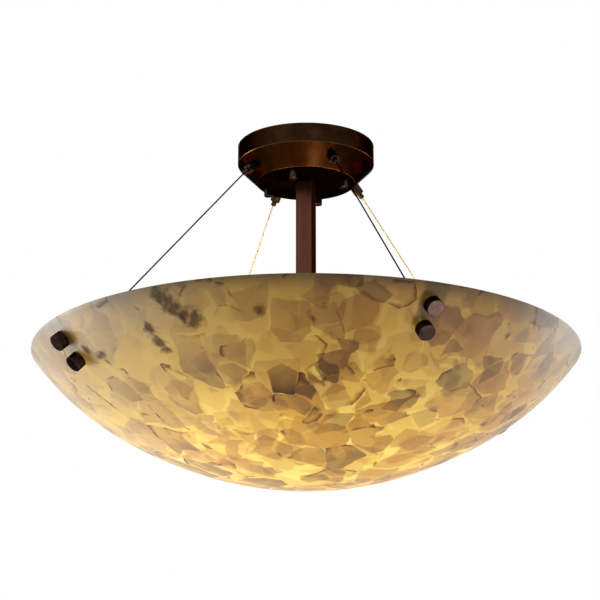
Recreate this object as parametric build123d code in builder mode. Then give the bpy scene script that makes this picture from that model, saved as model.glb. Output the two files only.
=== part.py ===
from build123d import *
from math import acos, asin, cos, degrees, radians, sin, sqrt, tan
import os

# Semi flush ceiling light: a stone-chip resin bowl hangs from a round canopy on four taut
# cables, with a square stem down the middle that carries three lampholders.
# Millimetres, +Z up. The origin is the middle of the canopy's top edge, on the ceiling.
# The cables hang close to the X and Y axes, and the stem's corners point along the axes.

# Clearances
THREAD_FIT = 0.05      # radial, between a thread and what it is screwed into
SLIDE_FIT = 0.05       # radial, of a piece that slides in a bore
HOLE_ROOM = 0.25       # radial, of a screw or thread in a plain hole
CABLE_ROOM = 0.30      # radial, of a cable in what moves along it
SEAT_ROOM = 0.10       # flat washer against the hollow side of a curved wall

# Canopy
CANOPY_R = 66.7        # the standard 5 1/4 in canopy
CANOPY_BAND = 18.75    # upright band below the ceiling
CANOPY_H = 37.5
CANOPY_SLOPE = 45.0    # of the cone below the band
CANOPY_WALL = 1.5
CANOPY_EDGE = 0.8      # rounding of the spun edges

# Mounting plate, its slots for the outlet box's screws, and its studs
PLATE_R = 52.0
PLATE_T = 2.0
PLATE_HOLE_R = 11.0    # way for the wires
BOX_SCREWS = 79.4      # middle of the slots, between boxes of 2 3/4 in and 3 1/2 in
SLOT_L = 14.4
SLOT_R = 2.4
STUD_R = 2.1
STUD_CIRCLE_R = 39.0
STUD_TURN = 45.0       # the studs stand in line with the stem's faces
LOCKNUT_AF = 8.7
LOCKNUT_T = 3.2
GROUND_SCREW_R = 2.0
GROUND_SCREW_Y = 30.0
GROUND_HEAD_R = 4.4
GROUND_HEAD_T = 2.6
GROUND_HEAD_EDGE = 0.5

# Round nuts that hold the canopy to the studs
CAP_NUT_R = 4.0
CAP_NUT_H = 9.0
CAP_NUT_END = 1.5      # metal left below the blind hole
CAP_NUT_EDGE = 0.5

# Stem and the threaded tubes at its ends
STEM_W = 15.9          # 5/8 in square tube
STEM_WALL = 1.5
STEM_CORNER = 0.8
STEM_L = 205.0
PLUG_H = 12.0
TUBE_R = 4.85          # 1/8 in lamp pipe
TUBE_BORE_R = 3.2
TUBE_NUT_AF = 15.9
TUBE_NUT_T = 4.0
TUBE_WASHER_R = 9.5
TUBE_WASHER_T = 1.2
TUBE_END = 2.0         # thread left past a nut

# Cluster body below the stem, with its lid and round end nut
CLUSTER_SIDES = 6
CLUSTER_AF = 54.0
CLUSTER_H = 27.0
CLUSTER_WALL = 1.2
LID_T = 1.2
LID_LIP_H = 4.0
LID_LIP_T = 1.0
LID_ROOM = 0.15
END_NUT_R = 8.0
END_NUT_H = 10.0
END_NUT_END = 2.0

# Lampholders and bulbs, medium screw size
LAMPS = 3
LAMP_TURN = 30.0       # of the first lampholder, from +X
HOLDER_R = 18.0
HOLDER_BACK_R = 13.0
HOLDER_L = 38.0
HOLDER_BACK_T = 9.0
HOLDER_TAPER = 7.0
HOLDER_EDGE = 0.8
SHELL_R = 13.8         # outside of the screw shell
SHELL_T = 0.4
SHELL_L = 24.0
CONTACT_W = 6.0
CONTACT_T = 0.5
CONTACT_ROOT = 11.0    # from the lampholder's axis to the riveted end
CONTACT_HEEL = 6.0     # to where the tongue starts to rise
CONTACT_TOE = 2.5      # from the axis to its free end
CONTACT_RISE = 2.4
CONTACT_GAP = 0.1
BASE_R = 13.1
BASE_T = 0.4
BASE_L = 24.0
BASE_TIP_R = 4.5
BASE_TIP_H = 3.0
BASE_CONE_H = 4.0
BULB_R = 30.0
BULB_L = 108.0         # from the contact's tip to the top of the glass
BULB_NECK_R = 12.6
BULB_SEAT = 8.0        # how far the neck of the glass goes into the base
GLASS_T = 1.0

# Bowl: three arcs that run into one another, from the middle of the bottom to the rim
BOWL_R = 261.2         # before the edges are rounded
BOWL_ROOM = 49.5       # from the end nut down to the inside of the bowl
BOWL_WALL = 6.5
CROWN_R = 329.0
CROWN_TURN = 19.4      # where the crown's arc ends, from straight down
FLANK_R = 410.0
FLANK_TURN = 30.7
BRIM_R = 274.0
BOWL_EDGE = 0.8

# Round finials outside the bowl, their screws and washers
FINIAL_R = 7.9
FINIAL_L = 9.0
FINIAL_EDGE = 0.5
FINIAL_DROP = 20.5     # upper finial, from the rim along the wall
FINIAL_SPACING = 23.0
FINIAL_HOLE = 7.0
WASHER_R = 6.0
WASHER_T = 1.0
SCREW_R = 2.0
SCREW_HEAD_R = 3.9
SCREW_HEAD_T = 2.4

# Hat-shaped hanger brackets inside the bowl
BRACKET_W = 22.0
BRACKET_T = 1.5
BRACKET_FOOT = 7.0     # beyond the screw
BRACKET_HEEL = 4.7     # from the screw to the bend
BRACKET_HAT = 8.0      # width of the raised middle
BRACKET_RISE = 9.0     # of its inner face above the wall
BRACKET_BEND = 1.2

# Cables and their ends
CABLE_R = 0.75
CABLE_TAIL = 14.0      # left above the gripper's nut
CABLE_BEND = 25.0      # of the slight bend where the cable leaves the gripper's nozzle
CABLE_BEND_OUT = 1.5   # from the nozzle's tip to the middle of the bend
BALL_R = 2.5
EYE_R = 1.3            # hole in the bracket

# Cable grippers on the canopy's cone
GRIPPER_R = 4.8
GRIPPER_L = 10.0
GRIPPER_EDGE = 0.5
CHAMBER_R = 3.7
CHAMBER_NECK_R = 2.8
TAPER_L = 4.0
SHANK_R = 3.0
SHANK_L = 8.0
SHANK_BORE_R = 1.3
SHANK_HEAD_T = 1.2
GRIPPER_NUT_AF = 9.0
GRIPPER_NUT_T = 3.0
GRIPPER_NUT_ROOM = 0.25
NOZZLE_R = 2.5
NOZZLE_OUT = 5.0
NOZZLE_EDGE = 0.4
NOZZLE_TRAVEL = 1.5    # pushed in by hand, it frees the cable
SPRING_ROOM = 1.0      # between the shank's head and the cage when it is pushed in
CAGE_L = 2.7
GRIP_BALL_R = 1.1
GRIP_BALLS = 3

# Where each cable hangs, as a turn from +X: not quite even, as the photograph shows them
SIDES = {"right": 7.0, "back": 92.0, "left": 182.0, "front": 268.5}

MATCH = 0.01           # how closely an edge's size is matched when it is picked

# Worked out from the above
STEM_TOP = -CANOPY_H
STEM_BOTTOM = STEM_TOP - STEM_L
CLUSTER_BOTTOM = STEM_BOTTOM - CLUSTER_H
LAMP_Z = STEM_BOTTOM - CLUSTER_H / 2
LID_BOTTOM = CLUSTER_BOTTOM - LID_T
END_NUT_BOTTOM = LID_BOTTOM - END_NUT_H
CANOPY_FOOT_R = CANOPY_R - (CANOPY_H - CANOPY_BAND) / tan(radians(CANOPY_SLOPE))

os.makedirs("parts", exist_ok=True)


def keep(part, name):
    """Label a finished piece and write it as its own file."""
    part.label = name
    export_step(part, f"parts/{name}.step")


def leaning(turn, radius, height, drop):
    """Plane whose normal points away from the axis at `turn`, and down by `drop` degrees."""
    out = Vector(cos(radians(turn)), sin(radians(turn)), 0)
    across = Vector(-sin(radians(turn)), cos(radians(turn)), 0)
    normal = out * cos(radians(drop)) - Vector(0, 0, 1) * sin(radians(drop))
    return Plane(origin=out * radius + Vector(0, 0, height), x_dir=across, z_dir=normal)


def beside(seat):
    """Plane through a seat's axis: its x is the radius of a turned piece, its y the axis."""
    return Plane(origin=seat.origin, x_dir=seat.x_dir, z_dir=-seat.y_dir)


def upright(turn):
    """Plane through the Z axis at `turn`: its x points outwards, its y up."""
    out = Vector(cos(radians(turn)), sin(radians(turn)), 0)
    return Plane(origin=(0, 0, 0), x_dir=out, z_dir=out.cross(Vector(0, 0, 1)))


def hexagon(across_flats):
    """A nut's outline in the sketch that is open."""
    RegularPolygon(radius=across_flats / 2, side_count=6, major_radius=False)


# Centres of the bowl's arcs in the upright plane, above the bottom of the bowl
CROWN_C = Vector(0, CROWN_R)
CROWN_OUT = Vector(sin(radians(CROWN_TURN)), -cos(radians(CROWN_TURN)))
FLANK_C = CROWN_C + CROWN_OUT * (CROWN_R - FLANK_R)
FLANK_OUT = Vector(sin(radians(FLANK_TURN)), -cos(radians(FLANK_TURN)))
BRIM_C = FLANK_C + FLANK_OUT * (FLANK_R - BRIM_R)
BRIM_TURN = degrees(asin((BOWL_R - BRIM_C.X) / BRIM_R))
BOWL_DEPTH = BRIM_C.Y - BRIM_R * cos(radians(BRIM_TURN))
INNER_BRIM_TURN = degrees(acos((BRIM_C.Y - BOWL_DEPTH) / (BRIM_R - BOWL_WALL)))
BOWL_BOTTOM = END_NUT_BOTTOM - BOWL_ROOM - BOWL_WALL


def wall_line(inset, brim_turn):
    """The wall's three arcs, `inset` mm inside the outer ones."""
    CenterArc(CROWN_C, CROWN_R - inset, -90, CROWN_TURN)
    CenterArc(FLANK_C, FLANK_R - inset, CROWN_TURN - 90, FLANK_TURN - CROWN_TURN)
    return CenterArc(BRIM_C, BRIM_R - inset, FLANK_TURN - 90, brim_turn - FLANK_TURN)


def on_wall(from_rim):
    """Radius, height and downward lean of the outer wall's normal, measured from the rim."""
    turn = BRIM_TURN - degrees(from_rim / BRIM_R)
    radius = BRIM_C.X + BRIM_R * sin(radians(turn))
    height = BOWL_BOTTOM + BRIM_C.Y - BRIM_R * cos(radians(turn))
    return radius, height, 90 - turn


UPPER = on_wall(FINIAL_DROP)
LOWER = on_wall(FINIAL_DROP + FINIAL_SPACING)
MIDDLE = on_wall(FINIAL_DROP + FINIAL_SPACING / 2)
FOOT_FACE = BOWL_WALL + SEAT_ROOM + WASHER_T

# Seat of a cable gripper, in the middle of the canopy's cone
GRIPPER_SEAT = (
    (CANOPY_R + CANOPY_FOOT_R) / 2,
    -(CANOPY_BAND + CANOPY_H) / 2,
    90 - CANOPY_SLOPE,
)


def finial_seats(turn):
    """The two places on the outer wall at one cable where finials stand."""
    return [leaning(turn, *UPPER), leaning(turn, *LOWER)]


# ---------------------------------------------------------------- mounting plate

with BuildPart() as mounting_plate:
    with BuildSketch(Plane.XY.offset(-PLATE_T)):
        Circle(PLATE_R)
        Circle(PLATE_HOLE_R, mode=Mode.SUBTRACT)
        with Locations((BOX_SCREWS / 2, 0), (-BOX_SCREWS / 2, 0)):
            SlotOverall(SLOT_L, 2 * SLOT_R, mode=Mode.SUBTRACT)
        with PolarLocations(STUD_CIRCLE_R, 4, start_angle=STUD_TURN):
            Circle(STUD_R + THREAD_FIT, mode=Mode.SUBTRACT)
        with Locations((0, GROUND_SCREW_Y)):
            Circle(GROUND_SCREW_R + THREAD_FIT, mode=Mode.SUBTRACT)
    extrude(amount=PLATE_T)
keep(mounting_plate.part, "mounting_plate")

with BuildPart() as ground_screw:
    with BuildSketch(Plane.XY.offset(-PLATE_T)):
        with Locations((0, GROUND_SCREW_Y)):
            Circle(GROUND_SCREW_R)
    extrude(amount=PLATE_T)
    with BuildSketch(Plane.XY.offset(-PLATE_T - GROUND_HEAD_T)):
        with Locations((0, GROUND_SCREW_Y)):
            Circle(GROUND_HEAD_R)
    extrude(amount=GROUND_HEAD_T)
    chamfer(ground_screw.edges().filter_by(GeomType.CIRCLE).group_by(Axis.Z)[0], GROUND_HEAD_EDGE)
keep(ground_screw.part, "ground_screw")

with BuildPart() as plate_studs:
    with BuildSketch(Plane.XY.offset(-CANOPY_H - CAP_NUT_H + CAP_NUT_END + HOLE_ROOM)):
        with PolarLocations(STUD_CIRCLE_R, 4, start_angle=STUD_TURN):
            Circle(STUD_R)
    extrude(amount=CANOPY_H + CAP_NUT_H - CAP_NUT_END - HOLE_ROOM)
keep(plate_studs.part, "plate_studs")

with BuildPart() as stud_locknuts:
    with BuildSketch(Plane.XY.offset(-PLATE_T - LOCKNUT_T)):
        with PolarLocations(STUD_CIRCLE_R, 4, start_angle=STUD_TURN):
            hexagon(LOCKNUT_AF)
            Circle(STUD_R + THREAD_FIT, mode=Mode.SUBTRACT)
    extrude(amount=LOCKNUT_T)
keep(stud_locknuts.part, "stud_locknuts")

# ---------------------------------------------------------------- canopy

with BuildPart() as canopy:
    with BuildSketch(Plane.XZ):
        with BuildLine():
            Polyline(
                (0, 0),
                (CANOPY_R, 0),
                (CANOPY_R, -CANOPY_BAND),
                (CANOPY_FOOT_R, -CANOPY_H),
                (0, -CANOPY_H),
                close=True,
            )
        make_face()
    revolve(axis=Axis.Z)
    top = canopy.faces().filter_by(GeomType.PLANE).sort_by(Axis.Z)[-1]
    offset(amount=-CANOPY_WALL, openings=top)
    spun_edges = canopy.edges().filter_by(GeomType.CIRCLE).filter_by(
        lambda edge: abs(edge.radius - CANOPY_R) < MATCH and edge.center().Z < -CANOPY_WALL
        or abs(edge.radius - CANOPY_FOOT_R) < MATCH
    )
    fillet(spun_edges, CANOPY_EDGE)
    with BuildSketch(Plane.XY.offset(-CANOPY_H)):
        Circle(TUBE_R + HOLE_ROOM)
        with PolarLocations(STUD_CIRCLE_R, 4, start_angle=STUD_TURN):
            Circle(STUD_R + HOLE_ROOM)
    extrude(amount=CANOPY_WALL, mode=Mode.SUBTRACT)
    for turn in SIDES.values():
        with BuildSketch(leaning(turn, *GRIPPER_SEAT)):
            Circle(SHANK_R + HOLE_ROOM)
    extrude(amount=2 * CANOPY_WALL, both=True, mode=Mode.SUBTRACT)
keep(canopy.part, "canopy")

with BuildPart() as canopy_cap_nuts:
    with BuildSketch(Plane.XY.offset(-CANOPY_H - CAP_NUT_H)):
        with PolarLocations(STUD_CIRCLE_R, 4, start_angle=STUD_TURN):
            Circle(CAP_NUT_R)
    extrude(amount=CAP_NUT_H)
    chamfer(canopy_cap_nuts.edges().filter_by(GeomType.CIRCLE), CAP_NUT_EDGE)
    with BuildSketch(Plane.XY.offset(-CANOPY_H)):
        with PolarLocations(STUD_CIRCLE_R, 4, start_angle=STUD_TURN):
            Circle(STUD_R + THREAD_FIT)
    extrude(amount=-(CAP_NUT_H - CAP_NUT_END), mode=Mode.SUBTRACT)
keep(canopy_cap_nuts.part, "canopy_cap_nuts")

# ---------------------------------------------------------------- stem


def lamp_pipe(low, high):
    """Threaded tube on the Z axis between two heights."""
    with BuildPart() as pipe:
        with BuildSketch(Plane.XY.offset(low)):
            Circle(TUBE_R)
            Circle(TUBE_BORE_R, mode=Mode.SUBTRACT)
        extrude(amount=high - low)
    return pipe.part


def stem_plug(low):
    """Square block welded into an end of the stem, tapped for the lamp pipe."""
    with BuildPart() as plug:
        with BuildSketch(Plane.XY.offset(low)):
            Rectangle(STEM_W - 2 * STEM_WALL, STEM_W - 2 * STEM_WALL, rotation=STUD_TURN)
            offset(amount=-THREAD_FIT)
            Circle(TUBE_R + THREAD_FIT, mode=Mode.SUBTRACT)
        extrude(amount=PLUG_H)
    return plug.part


with BuildPart() as stem:
    with BuildSketch(Plane.XY.offset(STEM_BOTTOM)):
        RectangleRounded(STEM_W, STEM_W, STEM_CORNER, rotation=STUD_TURN)
        Rectangle(
            STEM_W - 2 * STEM_WALL,
            STEM_W - 2 * STEM_WALL,
            rotation=STUD_TURN,
            mode=Mode.SUBTRACT,
        )
    extrude(amount=STEM_L)
keep(stem.part, "stem")
keep(stem_plug(STEM_TOP - PLUG_H), "stem_top_plug")
keep(stem_plug(STEM_BOTTOM), "stem_bottom_plug")

# The upper pipe clamps the canopy between the stem and a nut inside it
NUT_SEAT = -CANOPY_H + CANOPY_WALL + TUBE_WASHER_T
keep(lamp_pipe(STEM_TOP - PLUG_H, NUT_SEAT + TUBE_NUT_T + TUBE_END), "stem_pipe")

with BuildPart() as stem_washer:
    with BuildSketch(Plane.XY.offset(NUT_SEAT - TUBE_WASHER_T)):
        Circle(TUBE_WASHER_R)
        Circle(TUBE_R + HOLE_ROOM, mode=Mode.SUBTRACT)
    extrude(amount=TUBE_WASHER_T)
keep(stem_washer.part, "stem_washer")

with BuildPart() as stem_nut:
    with BuildSketch(Plane.XY.offset(NUT_SEAT)):
        hexagon(TUBE_NUT_AF)
        Circle(TUBE_R + THREAD_FIT, mode=Mode.SUBTRACT)
    extrude(amount=TUBE_NUT_T)
keep(stem_nut.part, "stem_nut")

# ---------------------------------------------------------------- lamp cluster

LAMP_TURNS = [LAMP_TURN + 360 / LAMPS * lamp for lamp in range(LAMPS)]


def cluster_outline(inset):
    """Outline of the cluster body, with a flat towards each lampholder."""
    RegularPolygon(
        radius=CLUSTER_AF / 2 - inset,
        side_count=CLUSTER_SIDES,
        major_radius=False,
        rotation=LAMP_TURN + 180 / CLUSTER_SIDES,
    )


with BuildPart() as cluster_body:
    with BuildSketch(Plane.XY.offset(CLUSTER_BOTTOM)):
        cluster_outline(0)
    extrude(amount=CLUSTER_H)
    offset(amount=-CLUSTER_WALL, openings=cluster_body.faces().sort_by(Axis.Z)[0])
    with BuildSketch(Plane.XY.offset(STEM_BOTTOM - CLUSTER_WALL)):
        Circle(TUBE_R + HOLE_ROOM)
    extrude(amount=CLUSTER_WALL, mode=Mode.SUBTRACT)
    for turn in LAMP_TURNS:
        with BuildSketch(leaning(turn, CLUSTER_AF / 2, LAMP_Z, 0)):
            Circle(TUBE_R + HOLE_ROOM)
    extrude(amount=-2 * CLUSTER_WALL, mode=Mode.SUBTRACT)
keep(cluster_body.part, "cluster_body")

with BuildPart() as cluster_lid:
    with BuildSketch(Plane.XY.offset(LID_BOTTOM)):
        cluster_outline(0)
    extrude(amount=LID_T)
    with BuildSketch(Plane.XY.offset(CLUSTER_BOTTOM)):
        cluster_outline(CLUSTER_WALL + LID_ROOM)
        offset(amount=-LID_LIP_T, mode=Mode.SUBTRACT)
    extrude(amount=LID_LIP_H)
    with BuildSketch(Plane.XY.offset(LID_BOTTOM)):
        Circle(TUBE_R + HOLE_ROOM)
    extrude(amount=LID_T, mode=Mode.SUBTRACT)
keep(cluster_lid.part, "cluster_lid")

with BuildPart() as end_nut:
    with BuildSketch(Plane.XY.offset(END_NUT_BOTTOM)):
        Circle(END_NUT_R)
    extrude(amount=END_NUT_H)
    fillet(end_nut.edges().filter_by(GeomType.CIRCLE).group_by(Axis.Z)[0], END_NUT_END)
    with BuildSketch(Plane.XY.offset(LID_BOTTOM)):
        Circle(TUBE_R + THREAD_FIT)
    extrude(amount=-(END_NUT_H - END_NUT_END), mode=Mode.SUBTRACT)
keep(end_nut.part, "cluster_end_nut")

# The lower pipe runs from the plug in the stem, through the cluster, into the end nut
keep(
    lamp_pipe(END_NUT_BOTTOM + END_NUT_END + HOLE_ROOM, STEM_BOTTOM + PLUG_H),
    "cluster_pipe",
)

# ---------------------------------------------------------------- lampholders

# Distances along a lampholder's axis, from the flat of the cluster body outwards
SHELL_START = HOLDER_BACK_T + CONTACT_T
TIP_AT = HOLDER_BACK_T + CONTACT_RISE + CONTACT_GAP
BASE_START = TIP_AT + BASE_TIP_H
BASE_END = BASE_START + BASE_CONE_H + BASE_L


def lamp_seat(turn):
    """Plane on the cluster's flat with its normal along the lampholder."""
    return leaning(turn, CLUSTER_AF / 2, LAMP_Z, 0)


def lampholder(turn):
    """Ceramic holder: a stepped cup, open outwards, on a short threaded tube."""
    seat = lamp_seat(turn)
    with BuildPart() as holder:
        with BuildSketch(beside(seat)):
            with BuildLine():
                Polyline(
                    (TUBE_R + THREAD_FIT, 0),
                    (HOLDER_BACK_R, 0),
                    (HOLDER_R, HOLDER_TAPER),
                    (HOLDER_R, HOLDER_L),
                    (SHELL_R + THREAD_FIT, HOLDER_L),
                    (SHELL_R + THREAD_FIT, HOLDER_BACK_T),
                    (TUBE_R + THREAD_FIT, HOLDER_BACK_T),
                    close=True,
                )
            make_face()
        revolve(axis=Axis(seat.origin, seat.z_dir))
        mouth = holder.edges().filter_by(GeomType.CIRCLE).filter_by(
            lambda edge: abs(edge.radius - HOLDER_R) < MATCH
        )
        fillet(mouth, HOLDER_EDGE)
    return holder.part


def bulb_glass(turn):
    """Hollow envelope: neck, shoulder and globe, open where the base closes it."""
    seat = lamp_seat(turn)
    globe_at = TIP_AT + BULB_L - BULB_R
    neck_at = BASE_END - BULB_SEAT
    with BuildPart() as glass:
        with BuildSketch(beside(seat)):
            with BuildLine():
                neck = Line((BULB_NECK_R, neck_at), (BULB_NECK_R, BASE_END))
                crown = RadiusArc((0, globe_at + BULB_R), (BULB_R, globe_at), BULB_R)
                Spline(
                    neck @ 1,
                    crown @ 1,
                    tangents=[(0, 1), (0, 1)],
                )
                Line(crown @ 0, (0, neck_at))
                Line((0, neck_at), neck @ 0)
            make_face()
        revolve(axis=Axis(seat.origin, seat.z_dir))
        neck_end = glass.faces().filter_by(GeomType.PLANE)[0]
        offset(amount=-GLASS_T, openings=neck_end)
    return glass.part


def bulb_base(turn):
    """Screw cap of a bulb, with its insulating cone and contact."""
    seat = lamp_seat(turn)
    with BuildPart() as base:
        with BuildSketch(beside(seat)):
            with BuildLine():
                Polyline(
                    (0, TIP_AT),
                    (BASE_TIP_R, TIP_AT),
                    (BASE_TIP_R, BASE_START),
                    (BASE_R, BASE_START + BASE_CONE_H),
                    (BASE_R, BASE_END),
                    (BASE_R - BASE_T, BASE_END),
                    (BASE_R - BASE_T, BASE_START + BASE_CONE_H),
                    (0, BASE_START + BASE_CONE_H),
                    close=True,
                )
            make_face()
        revolve(axis=Axis(seat.origin, seat.z_dir))
    return base.part


for lamp, turn in enumerate(LAMP_TURNS, start=1):
    keep(lampholder(turn), f"lampholder_{lamp}")
    keep(bulb_glass(turn), f"bulb_{lamp}_glass")
    keep(bulb_base(turn), f"bulb_{lamp}_base")

with BuildPart() as screw_shells:
    for turn in LAMP_TURNS:
        seat = lamp_seat(turn)
        with BuildSketch(beside(seat)):
            with BuildLine():
                Polyline(
                    (SHELL_R, SHELL_START),
                    (SHELL_R, SHELL_START + SHELL_L),
                    (SHELL_R - SHELL_T, SHELL_START + SHELL_L),
                    (SHELL_R - SHELL_T, SHELL_START),
                    close=True,
                )
            make_face()
        revolve(axis=Axis(seat.origin, seat.z_dir))
keep(screw_shells.part, "screw_shells")

with BuildPart() as centre_contacts:
    for turn in LAMP_TURNS:
        floor = HOLDER_BACK_T + CONTACT_T / 2
        crest = HOLDER_BACK_T + CONTACT_RISE - CONTACT_T / 2
        with BuildSketch(beside(lamp_seat(turn))):
            with BuildLine():
                Polyline(
                    (CONTACT_ROOT, floor),
                    (CONTACT_HEEL, floor),
                    (CONTACT_TOE, crest),
                    (-CONTACT_TOE, crest),
                )
            trace(line_width=CONTACT_T)
    extrude(amount=CONTACT_W / 2, both=True)
keep(centre_contacts.part, "centre_contacts")

with BuildPart() as holder_pipes:
    for turn in LAMP_TURNS:
        seat = lamp_seat(turn)
        with BuildSketch(seat.offset(-CLUSTER_WALL - LOCKNUT_T - TUBE_END)):
            Circle(TUBE_R)
            Circle(TUBE_BORE_R, mode=Mode.SUBTRACT)
    extrude(amount=CLUSTER_WALL + LOCKNUT_T + HOLDER_BACK_T)
keep(holder_pipes.part, "holder_pipes")

with BuildPart() as holder_nuts:
    for turn in LAMP_TURNS:
        with BuildSketch(lamp_seat(turn).offset(-CLUSTER_WALL - LOCKNUT_T)):
            hexagon(TUBE_NUT_AF)
            Circle(TUBE_R + THREAD_FIT, mode=Mode.SUBTRACT)
    extrude(amount=LOCKNUT_T)
keep(holder_nuts.part, "holder_nuts")

# ---------------------------------------------------------------- bowl

with BuildPart() as bowl:
    with BuildSketch(Plane((0, 0, BOWL_BOTTOM), (1, 0, 0), (0, -1, 0))) as section:
        with BuildLine():
            outer = wall_line(0, BRIM_TURN)
            inner = wall_line(BOWL_WALL, INNER_BRIM_TURN)
            Line(outer @ 1, inner @ 1)
            Line((0, 0), (0, BOWL_WALL))
        make_face()
        fillet(section.vertices().group_by(Axis.Y)[-1], BOWL_EDGE)
    revolve(axis=Axis.Z)
    for turn in SIDES.values():
        for seat in finial_seats(turn):
            with BuildSketch(seat.offset(WASHER_T)):
                Circle(SCREW_R + HOLE_ROOM)
    extrude(amount=-(WASHER_T + FOOT_FACE), mode=Mode.SUBTRACT)
keep(bowl.part, "bowl")


def finials(which):
    """One finial at each cable: 0 for the upper ones, 1 for the lower ones."""
    with BuildPart() as turned:
        for turn in SIDES.values():
            seat = finial_seats(turn)[which]
            with BuildSketch(beside(seat)):
                with BuildLine():
                    Polyline(
                        (0, WASHER_T + FINIAL_HOLE),
                        (SCREW_R + THREAD_FIT, WASHER_T + FINIAL_HOLE),
                        (SCREW_R + THREAD_FIT, WASHER_T),
                        (FINIAL_R, WASHER_T),
                        (FINIAL_R, WASHER_T + FINIAL_L - FINIAL_EDGE),
                        (FINIAL_R - FINIAL_EDGE, WASHER_T + FINIAL_L),
                        (0, WASHER_T + FINIAL_L),
                        close=True,
                    )
                make_face()
            revolve(axis=Axis(seat.origin, seat.z_dir))
    return turned.part


keep(finials(0), "upper_finials")
keep(finials(1), "lower_finials")


def washers(start):
    """A washer on each finial's axis, from `start` outwards."""
    with BuildPart() as rings:
        for turn in SIDES.values():
            for seat in finial_seats(turn):
                with BuildSketch(seat.offset(start)):
                    Circle(WASHER_R)
                    Circle(SCREW_R + HOLE_ROOM, mode=Mode.SUBTRACT)
        extrude(amount=WASHER_T)
    return rings.part


keep(washers(0), "outer_washers")
keep(washers(-FOOT_FACE), "inner_washers")

with BuildPart() as finial_screws:
    for turn in SIDES.values():
        for seat in finial_seats(turn):
            with BuildSketch(seat.offset(-FOOT_FACE - BRACKET_T)):
                Circle(SCREW_R)
    extrude(amount=FOOT_FACE + BRACKET_T + WASHER_T + FINIAL_HOLE - HOLE_ROOM)
    for turn in SIDES.values():
        for seat in finial_seats(turn):
            with BuildSketch(seat.offset(-FOOT_FACE - BRACKET_T)):
                Circle(SCREW_HEAD_R)
    extrude(amount=-SCREW_HEAD_T)
keep(finial_screws.part, "finial_screws")

# ---------------------------------------------------------------- hanger brackets


def in_wall(place, up, outward):
    """Point beside a place on the wall: `up` along the wall, `outward` along its normal."""
    radius, height, drop = place
    lean = radians(drop)
    return Vector(
        radius + up * sin(lean) + outward * cos(lean),
        height + up * cos(lean) - outward * sin(lean),
    )


FOOT_MIDDLE = -FOOT_FACE - BRACKET_T / 2
HAT_MIDDLE = -BOWL_WALL - BRACKET_RISE + BRACKET_T / 2
HAT_UNDER = -BOWL_WALL - BRACKET_RISE + BRACKET_T
BALL_OUT = sqrt(BALL_R**2 - EYE_R**2) + THREAD_FIT
BALL_POINT = in_wall(MIDDLE, 0, HAT_UNDER + BALL_OUT)


def hanger_bracket(turn):
    """Strip bent like a hat: two feet on the wall and a raised middle with the eye."""
    path = [
        in_wall(LOWER, -BRACKET_FOOT, FOOT_MIDDLE),
        in_wall(LOWER, BRACKET_HEEL, FOOT_MIDDLE),
        in_wall(MIDDLE, -BRACKET_HAT / 2, HAT_MIDDLE),
        in_wall(MIDDLE, BRACKET_HAT / 2, HAT_MIDDLE),
        in_wall(UPPER, -BRACKET_HEEL, FOOT_MIDDLE),
        in_wall(UPPER, BRACKET_FOOT, FOOT_MIDDLE),
    ]
    with BuildPart() as strip:
        with BuildSketch(upright(turn)):
            with BuildLine():
                FilletPolyline(*path, radius=BRACKET_BEND)
            trace(line_width=BRACKET_T)
        extrude(amount=BRACKET_W / 2, both=True)
        corners = strip.edges().filter_by(lambda edge: abs(edge.length - BRACKET_T) < MATCH)
        ends = corners.filter_by(lambda edge: edge.center().Z > path[5].Y - BRACKET_T)
        ends += corners.filter_by(lambda edge: edge.center().Z < path[0].Y + BRACKET_T)
        fillet(ends, BRACKET_FOOT / 2)
        for seat in finial_seats(turn):
            with BuildSketch(seat.offset(-FOOT_FACE)):
                Circle(SCREW_R + HOLE_ROOM)
        extrude(amount=-BRACKET_T, mode=Mode.SUBTRACT)
        with BuildSketch(leaning(turn, *MIDDLE).offset(HAT_UNDER)):
            Circle(EYE_R)
        extrude(amount=-BRACKET_T, mode=Mode.SUBTRACT)
    return strip.part


# ---------------------------------------------------------------- cables

NUT_BACK = -CANOPY_WALL - GRIPPER_NUT_ROOM - GRIPPER_NUT_T
NOZZLE_TIP = GRIPPER_L + NOZZLE_OUT


def from_gripper(along):
    """Point on a gripper's axis in the upright plane, `along` mm out from the cone."""
    return in_wall(GRIPPER_SEAT, 0, along)


CABLE_KINK = from_gripper(NOZZLE_TIP + CABLE_BEND_OUT)
BALL_DIRECTION = (BALL_POINT - CABLE_KINK).normalized()
CABLE_POINTS = [
    from_gripper(-SHANK_L - CABLE_TAIL),
    CABLE_KINK,
    BALL_POINT + BALL_DIRECTION * BALL_R,
]


def cable(turn):
    """Steel cable from its tail in the canopy, through the gripper, to its ball end."""
    side = upright(turn)
    with BuildPart() as rope:
        with BuildLine() as route:
            FilletPolyline(*[side.from_local_coords(p) for p in CABLE_POINTS], radius=CABLE_BEND)
        with BuildSketch(Plane(origin=route.line @ 0, z_dir=route.line % 0)):
            Circle(CABLE_R)
        sweep(path=route.line)
    return rope.part


with BuildPart() as cable_balls:
    for turn in SIDES.values():
        side = upright(turn)
        centre = side.from_local_coords(BALL_POINT)
        along = side.from_local_coords(BALL_POINT + BALL_DIRECTION) - centre
        with BuildSketch(Plane(origin=centre, x_dir=along, z_dir=side.z_dir)):
            with BuildLine():
                bore = CABLE_R + THREAD_FIT
                reach = sqrt(BALL_R**2 - bore**2)
                RadiusArc((-reach, bore), (reach, bore), BALL_R)
                Line((reach, bore), (-reach, bore))
            make_face()
        revolve(axis=Axis(centre, along))
keep(cable_balls.part, "cable_balls")

# ---------------------------------------------------------------- cable grippers

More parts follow.
